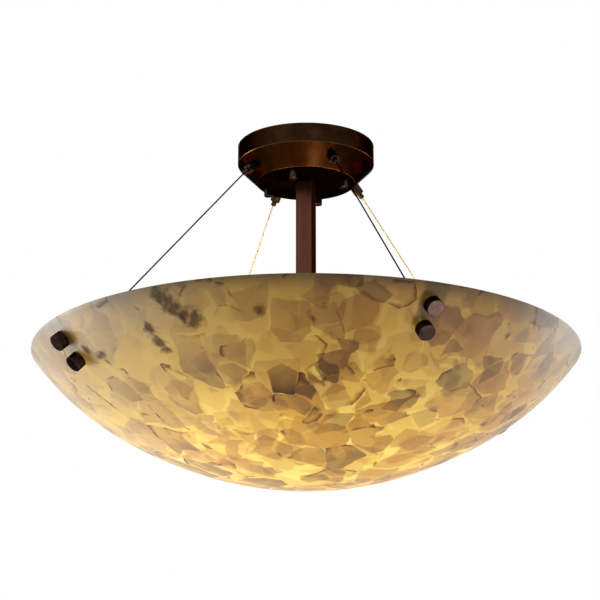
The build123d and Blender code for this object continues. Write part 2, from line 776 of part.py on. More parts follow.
CAGE_START = SHANK_HEAD_T + SPRING_ROOM + NOZZLE_TRAVEL
TAPER_END = CAGE_START + CAGE_L
TAPER_START = TAPER_END - TAPER_L
TAPER_LEAN = (CHAMBER_R - CHAMBER_NECK_R) / TAPER_L
GRIP_BALL_AT = CAGE_START + CAGE_L / 2
GRIP_CIRCLE_R = CABLE_R + GRIP_BALL_R + THREAD_FIT


def taper_radius(along):
    """Radius of the gripper's tapered chamber."""
    return CHAMBER_NECK_R + (TAPER_END - along) * TAPER_LEAN


def gripper_body(turn):
    """Barrel with a bore for the nozzle and a taper that wedges the balls on the cable."""
    seat = leaning(turn, *GRIPPER_SEAT)
    with BuildPart() as barrel:
        with BuildSketch(beside(seat)):
            with BuildLine():
                Polyline(
                    (CHAMBER_R, 0),
                    (GRIPPER_R, 0),
                    (GRIPPER_R, GRIPPER_L - GRIPPER_EDGE),
                    (GRIPPER_R - GRIPPER_EDGE, GRIPPER_L),
                    (NOZZLE_R + SLIDE_FIT, GRIPPER_L),
                    (NOZZLE_R + SLIDE_FIT, TAPER_END),
                    (CHAMBER_NECK_R, TAPER_END),
                    (CHAMBER_R, TAPER_START),
                    close=True,
                )
            make_face()
        revolve(axis=Axis(seat.origin, seat.z_dir))
    return barrel.part


def gripper_nozzle(turn):
    """Release nozzle in one piece with the cage that carries the balls."""
    seat = leaning(turn, *GRIPPER_SEAT)
    bore = CABLE_R + CABLE_ROOM
    cage_front = taper_radius(TAPER_END) - SLIDE_FIT
    cage_back = taper_radius(CAGE_START) - SLIDE_FIT
    with BuildPart() as nozzle:
        with BuildSketch(beside(seat)):
            with BuildLine():
                Polyline(
                    (bore, CAGE_START),
                    (cage_back - SLIDE_FIT, CAGE_START),
                    (cage_front - SLIDE_FIT, TAPER_END - SLIDE_FIT),
                    (NOZZLE_R, TAPER_END - SLIDE_FIT),
                    (NOZZLE_R, NOZZLE_TIP - NOZZLE_EDGE),
                    (NOZZLE_R - NOZZLE_EDGE, NOZZLE_TIP),
                    (bore, NOZZLE_TIP),
                    close=True,
                )
            make_face()
        revolve(axis=Axis(seat.origin, seat.z_dir))
        with BuildSketch(seat.offset(CAGE_START)):
            with PolarLocations(GRIP_CIRCLE_R, GRIP_BALLS):
                Circle(GRIP_BALL_R + SLIDE_FIT)
        extrude(amount=GRIP_BALL_R + SLIDE_FIT + CAGE_L / 2, mode=Mode.SUBTRACT)
    return nozzle.part


def grip_balls(turn):
    """The balls that bite the cable."""
    seat = leaning(turn, *GRIPPER_SEAT).offset(GRIP_BALL_AT)
    with BuildPart() as balls:
        with Locations(seat):
            with PolarLocations(GRIP_CIRCLE_R, GRIP_BALLS):
                Sphere(GRIP_BALL_R)
    return balls.part


for side, turn in SIDES.items():
    keep(hanger_bracket(turn), f"hanger_bracket_{side}")
    keep(cable(turn), f"cable_{side}")
    keep(gripper_body(turn), f"gripper_body_{side}")
    keep(gripper_nozzle(turn), f"gripper_nozzle_{side}")
    keep(grip_balls(turn), f"grip_balls_{side}")

with BuildPart() as gripper_shanks:
    for turn in SIDES.values():
        seat = leaning(turn, *GRIPPER_SEAT)
        with BuildSketch(seat):
            Circle(CHAMBER_R - THREAD_FIT)
            Circle(SHANK_BORE_R, mode=Mode.SUBTRACT)
        extrude(amount=SHANK_HEAD_T)
        with BuildSketch(seat):
            Circle(SHANK_R)
            Circle(SHANK_BORE_R, mode=Mode.SUBTRACT)
        extrude(amount=-SHANK_L)
keep(gripper_shanks.part, "gripper_shanks")

with BuildPart() as gripper_nuts:
    for turn in SIDES.values():
        with BuildSketch(leaning(turn, *GRIPPER_SEAT).offset(NUT_BACK)):
            hexagon(GRIPPER_NUT_AF)
            Circle(SHANK_R + THREAD_FIT, mode=Mode.SUBTRACT)
    extrude(amount=GRIPPER_NUT_T)
keep(gripper_nuts.part, "gripper_nuts")
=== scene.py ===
from math import acos, cos, degrees, pi, radians, sin, tan

import bmesh
import bpy
from mathutils import Matrix, Vector


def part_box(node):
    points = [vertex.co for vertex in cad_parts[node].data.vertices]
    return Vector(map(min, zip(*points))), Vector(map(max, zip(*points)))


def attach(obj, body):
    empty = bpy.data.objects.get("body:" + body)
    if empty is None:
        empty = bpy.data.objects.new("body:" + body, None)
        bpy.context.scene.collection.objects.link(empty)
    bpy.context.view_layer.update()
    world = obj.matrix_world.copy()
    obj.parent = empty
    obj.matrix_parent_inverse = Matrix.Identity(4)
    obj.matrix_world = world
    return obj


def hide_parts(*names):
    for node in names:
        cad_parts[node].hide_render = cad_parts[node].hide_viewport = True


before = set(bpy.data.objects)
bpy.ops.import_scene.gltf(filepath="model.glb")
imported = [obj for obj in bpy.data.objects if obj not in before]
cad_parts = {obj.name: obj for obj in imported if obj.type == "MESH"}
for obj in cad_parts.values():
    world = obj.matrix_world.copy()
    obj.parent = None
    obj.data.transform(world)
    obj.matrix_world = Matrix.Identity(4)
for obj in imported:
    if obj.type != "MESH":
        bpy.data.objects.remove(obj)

scene = bpy.context.scene
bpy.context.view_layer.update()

# ---------------------------------------------------------------------------- canopy
# The canopy is spun from 1.5 mm steel: an upright band and a 45 degree cone below it. Four cap
# nuts hold it under the mounting plate, and the cable grippers are fixed in its cone.


def linear(code):
    """A colour written as an sRGB hex value, as the linear RGBA that Blender works in."""
    parts = [int(code[i:i + 2], 16) / 255 for i in (1, 3, 5)]
    return [p / 12.92 if p <= 0.04045 else ((p + 0.055) / 1.055) ** 2.4 for p in parts] + [1.0]


def give(node, inputs):
    """Give a node's inputs, by name or in order, a value or a link each. A node given as a value
    stands for its first output in use."""
    for name, value in inputs.items() if isinstance(inputs, dict) else enumerate(inputs):
        if isinstance(value, bpy.types.Node):
            value = next(socket for socket in value.outputs if socket.enabled)
        if isinstance(value, bpy.types.NodeSocket):
            node.id_data.links.new(value, node.inputs[name])
        else:
            node.inputs[name].default_value = value


def add(tree, kind, inputs=(), stops=(), **settings):
    """Add a node with its settings and inputs; stops are a colour ramp's places and colours."""
    made = tree.nodes.new("ShaderNode" + kind)
    for name, value in settings.items():
        setattr(made, name, value)
    give(made, inputs)
    if stops:
        ramp = made.color_ramp.elements
        while len(ramp) < len(stops):
            ramp.new(1.0)
        for element, (place, code) in zip(ramp, stops):
            element.position = place
            element.color = linear(code)
    return made


def material(name):
    """A new material: itself, its tree, its shader and its coordinates in millimetres."""
    made = bpy.data.materials.new(name)
    made.use_nodes = True
    tree = made.node_tree
    place = add(tree, "TexCoord").outputs["Object"]
    mm = add(tree, "VectorMath", {0: place, "Scale": 1000.0}, operation="SCALE")
    return made, tree, tree.nodes["Principled BSDF"], mm


def finish_nodes(finish, *names):
    """Give a material to CAD nodes whose shape is right as it is."""
    for name in names:
        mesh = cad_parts[name].data
        mesh.materials.clear()
        mesh.materials.append(finish)


# How far in from an edge the patina is rubbed off, in m, where a light line runs that is partly
# worn metal and partly a painted highlight. The line starts where the rounded edge leans off the
# flat by the first cosine and is full at the second.
WORN_AND_HIGHLIT_EDGE = 0.0007
EDGE_LINE_STARTS, EDGE_LINE_FULL = 0.998, 0.95
BARE_METAL_AND_HIGHLIGHT = "#a98450"


def rub_and_highlight_edges(tree, patina, share):
    """Rub a patina back along the edges by a share, in a light line of bare metal that is partly
    a painted edge highlight; gives its colour and the rounded normal.
    """
    rounded = add(tree, "Bevel", {"Radius": WORN_AND_HIGHLIT_EDGE}, samples=6)
    flat = add(tree, "NewGeometry").outputs["True Normal"]
    turn = add(tree, "VectorMath", [rounded, flat], operation="DOT_PRODUCT")
    edge_line = add(tree, "MapRange", {"Value": turn, "From Min": EDGE_LINE_STARTS, "From Max": EDGE_LINE_FULL,
                                 "To Max": share})
    tone = add(tree, "Mix", {0: edge_line, 6: patina, 7: linear(BARE_METAL_AND_HIGHLIGHT)}, data_type="RGBA")
    return tone, rounded


# Oil rubbed bronze sprayed on steel: a near black brown patina in clouds of 22 mm, rubbed back
# along every edge, where the warm metal shows as a thin line, partly wear and partly a painted
# highlight. The spray's orange peel, with grains of 0.9 mm, softens the gloss.
bronze, tree, shader, mm = material("oil_rubbed_bronze")
clouds = add(tree, "TexNoise", {"Vector": mm, "Scale": 1 / 22, "Detail": 4.0, "Roughness": 0.6})
patina = add(tree, "ValToRGB", [clouds],
             [(0.34, "#1c1009"), (0.55, "#2a190e"), (0.72, "#3a2417")])
tone, rounded = rub_and_highlight_edges(tree, patina, 0.7)
matt = add(tree, "MapRange", {"Value": clouds, "To Min": 0.22, "To Max": 0.36})
peel = add(tree, "TexNoise", {"Vector": mm, "Scale": 1 / 0.9, "Detail": 2.0})
bump = add(tree, "Bump", {"Height": peel, "Strength": 0.12, "Distance": 0.00008,
                          "Normal": rounded})
give(shader, {"Base Color": tone, "Roughness": matt, "Normal": bump, "Metallic": 1.0,
              "Specular Tint": linear("#5c4030")})
finish_nodes(bronze, "canopy")

# ---------------------------------------------------------------------------- stem
# A square steel tube, 15.9 mm wide, hangs from the middle of the canopy down into the bowl,
# where it carries the lamps. It is drawn, cut to length and coloured to match the canopy.

# The same bronze on drawn tube, which takes it thinner: a redder brown, with faint lines from
# the drawing, some 1.7 mm apart and 55 mm long.
tube, tree, shader, mm = material("rubbed_bronze_on_drawn_tube")
along = add(tree, "Mapping", {"Vector": mm, "Scale": (1.0, 1.0, 0.03)})
lines = add(tree, "TexNoise", {"Vector": along, "Scale": 3 / 5, "Detail": 3.0})
patina = add(tree, "ValToRGB", [lines],
             [(0.34, "#40251c"), (0.55, "#4a2c22"), (0.72, "#54342a")])
# Its edges get the same thin light line: worn metal, and partly a painted highlight.
tone, rounded = rub_and_highlight_edges(tree, patina, 0.55)
matt = add(tree, "MapRange", {"Value": lines, "To Min": 0.30, "To Max": 0.44})
give(shader, {"Base Color": tone, "Roughness": matt, "Normal": rounded, "Metallic": 1.0,
              "Specular Tint": linear("#3a2014")})
finish_nodes(tube, "stem")

# ---------------------------------------------------------------------------- turned fittings
# The cap nuts under the canopy, the cable grippers' bodies and nozzles and the eight finials
# outside the bowl are turned from bar and coloured before they are fitted.

# Turn of each cable, with its gripper and its finials, about the stem, in degrees
SIDE_TURNS = {"right": 7.0, "back": 92.0, "left": 182.0, "front": 268.5}

# Bronze on turned bar: thinner and greyer than on the sheet, in clouds of 6 mm, so the faces
# look a little lighter and the sides pick up warm light. The turning leaves it glossy.
turned, tree, shader, mm = material("turned_dark_bronze")
clouds = add(tree, "TexNoise", {"Vector": mm, "Scale": 1 / 6, "Detail": 4.0, "Roughness": 0.6})
tone = add(tree, "ValToRGB", [clouds],
           [(0.34, "#2c2320"), (0.55, "#3b302d"), (0.72, "#4a3e3a")])
matt = add(tree, "MapRange", {"Value": clouds, "To Min": 0.16, "To Max": 0.26})
give(shader, {"Base Color": tone, "Roughness": matt, "Metallic": 0.9,
              "Specular Tint": linear("#5e5048")})
finish_nodes(
    turned, "upper_finials", "lower_finials", "canopy_cap_nuts",
    *[f"gripper_{part}_{side}" for part in ("body", "nozzle") for side in SIDE_TURNS],
)

# ---------------------------------------------------------------------------- hardware
# Inside the canopy: the plate that screws to the outlet box, its studs, nuts and lamp pipe.
# Inside the bowl: hat brackets, screws, washers and the cables' ball ends.

# Zinc plated steel: pale bluish grey, with faint clouds of 9 mm from the plating bath and
# scratches 0.2 mm wide and 4 mm long from the press, so it is bright but never like a mirror.
zinc, tree, shader, mm = material("zinc_plated_steel")
bath = add(tree, "TexNoise", {"Vector": mm, "Scale": 1 / 9, "Detail": 5.0, "Roughness": 0.65})
tone = add(tree, "ValToRGB", [bath],
           [(0.30, "#8f949a"), (0.52, "#a9aeb2"), (0.70, "#b9b7a9")])
pressed = add(tree, "Mapping", {"Vector": mm, "Scale": (0.15, 3.0, 1.2)})
scratch = add(tree, "TexNoise", {"Vector": pressed, "Scale": 1.6, "Detail": 3.0})
matt = add(tree, "MapRange", {"Value": scratch, "To Min": 0.24, "To Max": 0.46})
bump = add(tree, "Bump", {"Height": scratch, "Strength": 0.1, "Distance": 0.0001})
give(shader, {"Base Color": tone, "Roughness": matt, "Normal": bump, "Metallic": 1.0})
finish_nodes(
    zinc, "mounting_plate", "plate_studs", "stud_locknuts", "stem_pipe", "stem_washer",
    "stem_nut", "stem_top_plug", "stem_bottom_plug", "cluster_pipe", "holder_pipes",
    "holder_nuts", "gripper_shanks", "gripper_nuts", "finial_screws", "cable_balls",
    *[f"{part}_{side}" for part in ("hanger_bracket", "grip_balls") for side in SIDE_TURNS],
)

# Green lacquer on a steel screw, as every earthing screw has: a clear, slightly uneven coat.
green, tree, shader, mm = material("green_lacquered_steel")
coat = add(tree, "TexNoise", {"Vector": mm, "Scale": 1 / 2.5, "Detail": 3.0})
tone = add(tree, "ValToRGB", [coat], [(0.3, "#1d5a33"), (0.7, "#2f7d47")])
give(shader, {"Base Color": tone, "Roughness": 0.3, "Metallic": 0.6})
finish_nodes(green, "ground_screw")

# Black rubber washers, moulded: matt, with a faint bloom.
rubber, tree, shader, mm = material("moulded_black_rubber")
bloom = add(tree, "TexNoise", {"Vector": mm, "Scale": 1 / 3, "Detail": 4.0})
tone = add(tree, "ValToRGB", [bloom], [(0.35, "#161514"), (0.7, "#2b2927")])
give(shader, {"Base Color": tone, "Roughness": 0.75})
finish_nodes(rubber, "outer_washers", "inner_washers")

# ---------------------------------------------------------------------------- lamps
# Three glazed porcelain lampholders stand on the flats of a bronzed cluster body, each with a
# brass screw shell and a soft white bulb. The bulbs are lit, as in the photograph.
LAMPS = (1, 2, 3)
finish_nodes(bronze, "cluster_body", "cluster_lid", "cluster_end_nut")

# Glazed porcelain: warm white under a thick wet-looking glaze, which pools a little.
porcelain, tree, shader, mm = material("glazed_porcelain")
glaze = add(tree, "TexNoise", {"Vector": mm, "Scale": 1 / 7, "Detail": 2.0})
tone = add(tree, "ValToRGB", [glaze], [(0.3, "#e4ded0"), (0.7, "#efeadf")])
bump = add(tree, "Bump", {"Height": glaze, "Strength": 0.15, "Distance": 0.0004})
give(shader, {"Base Color": tone, "Roughness": 0.14, "Normal": bump})
finish_nodes(porcelain, *[f"lampholder_{lamp}" for lamp in LAMPS])

# Pressed brass, a little tarnished and duller in patches.
brass, tree, shader, mm = material("pressed_brass")
tarnish = add(tree, "TexNoise", {"Vector": mm, "Scale": 1 / 4, "Detail": 4.0})
tone = add(tree, "ValToRGB", [tarnish], [(0.3, "#8f6c2f"), (0.65, "#c29a4c")])
matt = add(tree, "MapRange", {"Value": tarnish, "To Min": 0.42, "To Max": 0.24})
give(shader, {"Base Color": tone, "Roughness": matt, "Metallic": 1.0})
finish_nodes(brass, "screw_shells", "centre_contacts")

# Nickel plated cap of a bulb: pale, rolled thin, softly bright.
nickel, tree, shader, mm = material("rolled_nickel_plate")
film = add(tree, "TexNoise", {"Vector": mm, "Scale": 1 / 3, "Detail": 3.0})
tone = add(tree, "ValToRGB", [film], [(0.3, "#a5a19a"), (0.7, "#c6c2ba")])
give(shader, {"Base Color": tone, "Roughness": 0.28, "Metallic": 1.0})
finish_nodes(nickel, *[f"bulb_{lamp}_base" for lamp in LAMPS])

# Glass coated with white powder inside and lit from within: an even warm glow under a gloss.
lit_glass, tree, shader, mm = material("soft_white_glass")
powder = add(tree, "TexNoise", {"Vector": mm, "Scale": 1 / 12, "Detail": 2.0})
tone = add(tree, "ValToRGB", [powder], [(0.3, "#fff1d2"), (0.7, "#fff6e2")])
give(shader, {"Base Color": tone, "Roughness": 0.18, "Emission Color": linear("#ffdca0"),
              "Emission Strength": 22.0})
finish_nodes(lit_glass, *[f"bulb_{lamp}_glass" for lamp in LAMPS])

# ---------------------------------------------------------------------------- bowl
# The bowl is cast: broken stone chips, packed against the mould in clear amber resin, and
# polished inside and out. The outside of its section is three arcs that run into each other,
# from the middle of the bottom to the rim, and the wall is 6.5 mm thick with rounded edges.
BOWL_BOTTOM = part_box("bowl")[0].z
BOWL_WALL = 0.0065
BOWL_EDGE = 0.0008
ARC_RADII = (0.329, 0.410, 0.274)
# Degrees from straight down at which the first two arcs end, and where the rim cuts the last
ARC_ENDS = (19.4, 30.7)
OUTER_RIM, INNER_RIM = 52.95, 51.89
ARC_STEPS, BOWL_COLUMNS, EDGE_STEPS = 22, 224, 4

arc_centres = [Vector((0, 0, BOWL_BOTTOM + ARC_RADII[0]))]
for end, radius, next_radius in zip(ARC_ENDS, ARC_RADII, ARC_RADII[1:]):
    outward = Vector((sin(radians(end)), 0, -cos(radians(end))))
    arc_centres.append(arc_centres[-1] + outward * (radius - next_radius))


def make_piece(name, mesh, finish):
    """Give a mesh its material and make it a piece that rides on the fixture."""
    mesh.materials.clear()
    mesh.materials.append(finish)
    piece = bpy.data.objects.new(name, mesh)
    scene.collection.objects.link(piece)
    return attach(piece, "fixture")


def draw_wall(bm, inset, rim):
    """Draw one face of the wall as arcs from the axis to the rim, and give its last vertex."""
    vertex = bm.verts.new((0, 0, BOWL_BOTTOM + inset))
    start = 0.0
    for centre, end in zip(arc_centres, (*ARC_ENDS, rim)):
        drawn = bmesh.ops.spin(
            bm, geom=[vertex], cent=centre, axis=(0, -1, 0), angle=radians(end - start),
            steps=ARC_STEPS)
        vertex = next(v for v in drawn["geom_last"] if isinstance(v, bmesh.types.BMVert))
        start = end
    return vertex


bm = bmesh.new()
outer_corner = draw_wall(bm, 0.0, OUTER_RIM)
inner_corner = draw_wall(bm, BOWL_WALL, INNER_RIM)
bm.edges.new((outer_corner, inner_corner))
for corner, angle in ((outer_corner, OUTER_RIM), (inner_corner, 180 - INNER_RIM)):
    bmesh.ops.bevel(
        bm, geom=[corner], offset=BOWL_EDGE / tan(radians(angle / 2)), offset_type="OFFSET",
        segments=EDGE_STEPS, profile=0.5, affect="VERTICES", material=-1)
bmesh.ops.spin(
    bm, geom=bm.verts[:] + bm.edges[:], cent=(0, 0, 0), axis=(0, 0, 1), angle=2 * pi,
    steps=BOWL_COLUMNS, use_merge=True)
bmesh.ops.remove_doubles(bm, verts=bm.verts, dist=0.00001)
bmesh.ops.recalc_face_normals(bm, faces=bm.faces)
for face in bm.faces:
    face.smooth = True
bowl_mesh = bpy.data.meshes.new("stone_bowl")
bm.to_mesh(bowl_mesh)
bm.free()

# Cast stone chips in amber resin, polished, with the lamps behind it. The resin lets the most
# light through and shows bright yellow between the chips, the chips are cream, grey or brown
# with rusty edges, and both turn browner towards the rim, where less light reaches the wall.
DEEP_CHIP, BIG_CHIP, MID_CHIP, SMALL_CHIP = 34.0, 42.0, 27.0, 14.0      # mm across
BEND = 6.0                         # mm that a chip's edges wander, over
BEND_SIZE = 24.0                   # mm
HALF = (0.5, 0.5, 0.5)
stone, tree, shader, mm = material("cast_stone_chip_resin")
bottom = BOWL_BOTTOM * 1000
height = add(tree, "SeparateXYZ", [mm]).outputs["Z"]
wander = add(tree, "TexNoise", {"Vector": mm, "Scale": 1 / BEND_SIZE, "Detail": 1.5,
                                "Roughness": 0.55})
wander = add(tree, "VectorMath", [wander.outputs["Color"], HALF], operation="SUBTRACT")
bent = add(tree, "VectorMath", [wander, (2 * BEND,) * 3, mm], operation="MULTIPLY_ADD")


def only_where(amount, *ranges):
    """An amount, kept only where each value is past its range, with soft ends."""
    for value, low, high in ranges:
        past = add(tree, "MapRange", {"Value": value, "From Min": low, "From Max": high},
                   interpolation_type="SMOOTHSTEP")
        amount = add(tree, "Math", [amount, past], operation="MULTIPLY")
    return amount


# Each layer of chips starts from cells, which four flat breaks cut straight. They lie this
# share of a chip's size out from its middle and face another way on each chip.
BREAK_OUT = 0.45
BREAKS = ((1.0, 0.3, 0.2), (-0.5, 0.9, 0.4), (-0.4, -0.8, 0.6), (0.1, 0.2, -1.0))
# A chip is shaded from one side to the other, and its veins are this share of its size across
SLOPE_RUN, SLOPE_DEPTH = 0.35, 0.32
VEIN_SIZE, VEIN_DEPTH = 0.6, 0.4
# Resin opens between chips in places this many chips across. A seam's half width in mm is
# noise from 0 to 1, times the range, from the lowest up, and closed below nought.
SEAM_SIZE = 1.3
SEAM_RANGE, SEAM_LOWEST = 13.0, -7.2
# What sets one chip's veins apart from the next one's, in mm
VEINS_APART = 90.0


def chips(size, shift, soft, share):
    """One layer of chips of a size in mm, in a share of its cells. The shift sets it apart from
    the other layers, and its edges fade over the soft width, both in mm."""
    at = add(tree, "VectorMath", [bent, shift], operation="ADD")
    cell = add(tree, "TexVoronoi", {"Vector": at, "Scale": 1 / size}).outputs
    edge = add(tree, "TexVoronoi", {"Vector": at, "Scale": 1 / size}, feature="DISTANCE_TO_EDGE")
    pick = add(tree, "SeparateColor", [cell["Color"]]).outputs
    toward = add(tree, "VectorMath", [at, cell["Position"]], operation="SUBTRACT")
    lean = add(tree, "VectorMath", [cell["Color"], HALF], operation="SUBTRACT")

    slope = add(tree, "VectorMath", [toward, lean], operation="DOT_PRODUCT")
    slope = add(tree, "Math", [slope, size * SLOPE_RUN], operation="DIVIDE")
    apart = add(tree, "VectorMath", [cell["Color"], (VEINS_APART,) * 3, at],
                operation="MULTIPLY_ADD")
    veins = add(tree, "TexNoise", {"Vector": apart, "Scale": 1 / (size * VEIN_SIZE),
                                   "Detail": 3.0, "Roughness": 0.55})
    veins = add(tree, "Math", [veins, 0.5], operation="SUBTRACT")
    shade = add(tree, "Math", [slope, SLOPE_DEPTH, pick["Red"]], operation="MULTIPLY_ADD")
    shade = add(tree, "Math", [veins, VEIN_DEPTH, shade], operation="MULTIPLY_ADD")

    gap = add(tree, "Math", [edge, size], operation="MULTIPLY")
    seam = add(tree, "TexNoise", {"Vector": mm, "Scale": 1 / (size * SEAM_SIZE), "Detail": 2.0,
                                  "Roughness": 0.55})
    seam = add(tree, "Math", [seam, SEAM_RANGE, SEAM_LOWEST], operation="MULTIPLY_ADD")
    seam = add(tree, "Math", [seam, -soft], operation="MAXIMUM")
    inside = add(tree, "Math", [gap, seam], operation="SUBTRACT")
    for way in BREAKS:
        facing = add(tree, "VectorMath", [lean, way], operation="CROSS_PRODUCT")
        facing = add(tree, "VectorMath", [facing], operation="NORMALIZE")
        out = add(tree, "VectorMath", [toward, facing], operation="DOT_PRODUCT")
        left = add(tree, "Math", [size * BREAK_OUT, out], operation="SUBTRACT")
        inside = add(tree, "Math", [inside, left], operation="MINIMUM")
    whole = only_where(1.0, (inside, 0.0, soft))
    cover = only_where(whole, (pick["Green"], 1 - share, 1.02 - share))
    return {"middle": cell["Position"], "shift": shift, "rusty": pick["Blue"], "gap": gap,
            "slope": slope, "shade": shade, "whole": whole, "cover": cover}


deep = chips(DEEP_CHIP, (33.0, 66.0, 5.0), 1.6, 1.0)
big = chips(BIG_CHIP, (7.0, 3.0, 11.0), 1.0, 0.92)
mid = chips(MID_CHIP, (91.0, 40.0, 23.0), 1.2, 0.5)
small = chips(SMALL_CHIP, (51.0, 17.0, 73.0), 2.0, 0.25)


def on_bowl(turn, level):
    """The point in mm of the bowl's outside at a turn in degrees and a level in mm."""
    for centre, radius, end in zip(arc_centres, ARC_RADII, (*ARC_ENDS, OUTER_RIM)):
        drop = centre.z - level / 1000
        if degrees(acos(drop / radius)) <= end:
            break
    reach = (centre.x + (radius ** 2 - drop ** 2) ** 0.5) * 1000
    return Vector((reach * cos(radians(turn)), reach * sin(radians(turn)), level))


# The dark chips, laid against the mould where they show: turn in degrees, level and reach in
# mm, and how much darker they are. A chip turns dark as a whole, as its middle is what counts.
DARK_CHIPS = (
    (233.6, -288, 17, 0.90), (247.4, -286, 19, 0.65), (270.2, -288, 19, 0.60),
    (282.8, -270, 14, 0.65), (296.5, -268, 18, 0.60), (300.1, -252, 16, 0.45),
    (260.0, -244, 8, 0.55), (280.9, -302, 13, 0.30), (258.0, -226, 18, 0.30),
    (122.0, -281, 20, 0.60), (60.0, -262, 19, 0.50), (18.0, -290, 20, 0.60),
    (341.0, -300, 18, 0.50), (150.0, -300, 17, 0.40), (88.0, -250, 16, 0.40),
)
dark = 0.0
for turn, level, reach, depth in DARK_CHIPS:
    place = on_bowl(turn, level) + Vector(mid["shift"])
    far = add(tree, "VectorMath", [mid["middle"], place], operation="DISTANCE")
    here = only_where(depth, (far, reach + 1.0, reach))
    dark = add(tree, "Math", [dark, here], operation="MAXIMUM")
# A dark chip is a little lighter towards one side
dark = add(tree, "Math", [dark, mid["whole"]], operation="MULTIPLY")
sloped = add(tree, "Math", [mid["slope"], 0.35, 0.85], operation="MULTIPLY_ADD")
dark = add(tree, "Math", [dark, sloped], operation="MULTIPLY", use_clamp=True)

# The lamps' light: yellow in clear resin, a little browner near the rim. Each layer of chips
# holds back its own share of it, less so on one side, where this paints a sheen that washes the
# chips out paler and more even.
GLOW_HEIGHT = 123.0                # mm from the bottom to where the light ends
THROUGH_CHIP = [(0.0, "#947236"), (0.06, "#ae8c44"), (0.18, "#c4a452"), (0.45, "#d2b662"),
                (0.80, "#dec876"), (1.0, "#efde98")]
SHEEN_TURN = radians(193)
SHEEN_FROM, SHEEN_FULL, HELD_UNDER_SHEEN = 90.0, 240.0, 0.5      # mm out from the stem, share left
rise = add(tree, "MapRange", {"Value": height, "From Min": bottom,
                              "From Max": bottom + GLOW_HEIGHT})
light = add(tree, "Mix", {0: rise, 6: linear("#ffdb66"), 7: linear("#ffc858")}, data_type="RGBA")
# Painted sheen: towards this side the chips hold back less of the glow.
toward_sheen = add(tree, "VectorMath", [mm, (cos(SHEEN_TURN), sin(SHEEN_TURN), 0)],
                operation="DOT_PRODUCT")
held_share = add(tree, "MapRange", {"Value": toward_sheen, "From Min": SHEEN_FROM,
                               "From Max": SHEEN_FULL, "To Min": 1.0, "To Max": HELD_UNDER_SHEEN},
            interpolation_type="SMOOTHSTEP")
for layer, held_back in ((deep, 0.45), (big, 0.85), (mid, 0.65), (small, 0.45)):
    held = add(tree, "Math", [held_share, held_back], operation="MULTIPLY")
    held = add(tree, "Math", [held, layer["cover"]], operation="MULTIPLY")
    through = add(tree, "ValToRGB", [layer["shade"]], THROUGH_CHIP)
    light = add(tree, "Mix", {0: held, 6: light, 7: through}, data_type="RGBA",
                blend_type="MULTIPLY")
light = add(tree, "Mix", {0: dark, 6: light, 7: linear("#54402e")}, data_type="RGBA",
            blend_type="MULTIPLY")

# The polished stone as it looks by daylight, with resin between the chips
shade = add(tree, "Math", [mid["shade"], 0.4], operation="MULTIPLY")
shade = add(tree, "Math", [big["shade"], 0.6, shade], operation="MULTIPLY_ADD")
face = add(tree, "ValToRGB", [shade],
           [(0.0, "#948b78"), (0.25, "#aaa18c"), (0.6, "#b7ad99"), (1.0, "#c2b9a8")])
face = add(tree, "Mix", {0: dark, 6: face, 7: linear("#5c5040")}, data_type="RGBA")
chip = add(tree, "Math", [big["cover"], mid["cover"]], operation="MAXIMUM")
face = add(tree, "Mix", {0: chip, 6: linear("#b8a786"), 7: face}, data_type="RGBA")

# Rust in thin lines along one side of some chips, within this many mm of the edge, and in
# patches this many mm across
RUST_WIDTH, RUST_SIZE = 4.5, 17.0
for layer in (big, mid):
    patches = add(tree, "TexNoise", {"Vector": mm, "Scale": 1 / RUST_SIZE, "Detail": 2.0,
                                     "Roughness": 0.55})
    rust = only_where(1.0, (layer["gap"], RUST_WIDTH, 0.0), (layer["rusty"], 0.55, 0.62),
                      (layer["slope"], 0.15, 0.5), (patches, 0.46, 0.60))
    stain = add(tree, "Math", [rust, 0.9], operation="MULTIPLY")
    light = add(tree, "Mix", {0: stain, 6: light, 7: linear("#7d4418")}, data_type="RGBA",
                blend_type="MULTIPLY")
    stain = add(tree, "Math", [rust, 0.7], operation="MULTIPLY")
    face = add(tree, "Mix", {0: stain, 6: face, 7: linear("#4a2c18")}, data_type="RGBA")

# Brown manganese clouds in a few places: turn in degrees, level and reach in mm. They fade out
# at some way past their reach and are broken up by grain of this many mm.
CLOUDS = ((213.0, -220, 10), (214.4, -225, 11), (216.0, -230, 10), (218.0, -236, 10),
          (220.0, -241, 9), (208.0, -243, 7), (208.6, -252, 7), (209.3, -259, 6),
          (187.0, -243, 6), (190.0, -250, 6), (233.7, -238, 6), (48.0, -232, 12),
          (110.0, -243, 10))
CLOUD_FADE = 1.7
GRAIN_SIZE, GRAIN_DEPTH = 7.0, 1.6
cloud = 0.0
for turn, level, reach in CLOUDS:
    far = add(tree, "VectorMath", [bent, on_bowl(turn, level)], operation="DISTANCE")
    here = only_where(1.0, (far, reach * CLOUD_FADE, 0.0))
    cloud = add(tree, "Math", [cloud, here], operation="MAXIMUM")
grain = add(tree, "TexNoise", {"Vector": mm, "Scale": 1 / GRAIN_SIZE, "Detail": 5.0,
                               "Roughness": 0.55})
cloud = add(tree, "Math", [grain, GRAIN_DEPTH, cloud], operation="MULTIPLY_ADD")
cloud = only_where(0.85, (cloud, 0.98, 1.75))
light = add(tree, "Mix", {0: cloud, 6: light, 7: linear("#5a4234")}, data_type="RGBA",
            blend_type="MULTIPLY")
face = add(tree, "Mix", {0: cloud, 6: face, 7: linear("#3d3027")}, data_type="RGBA")

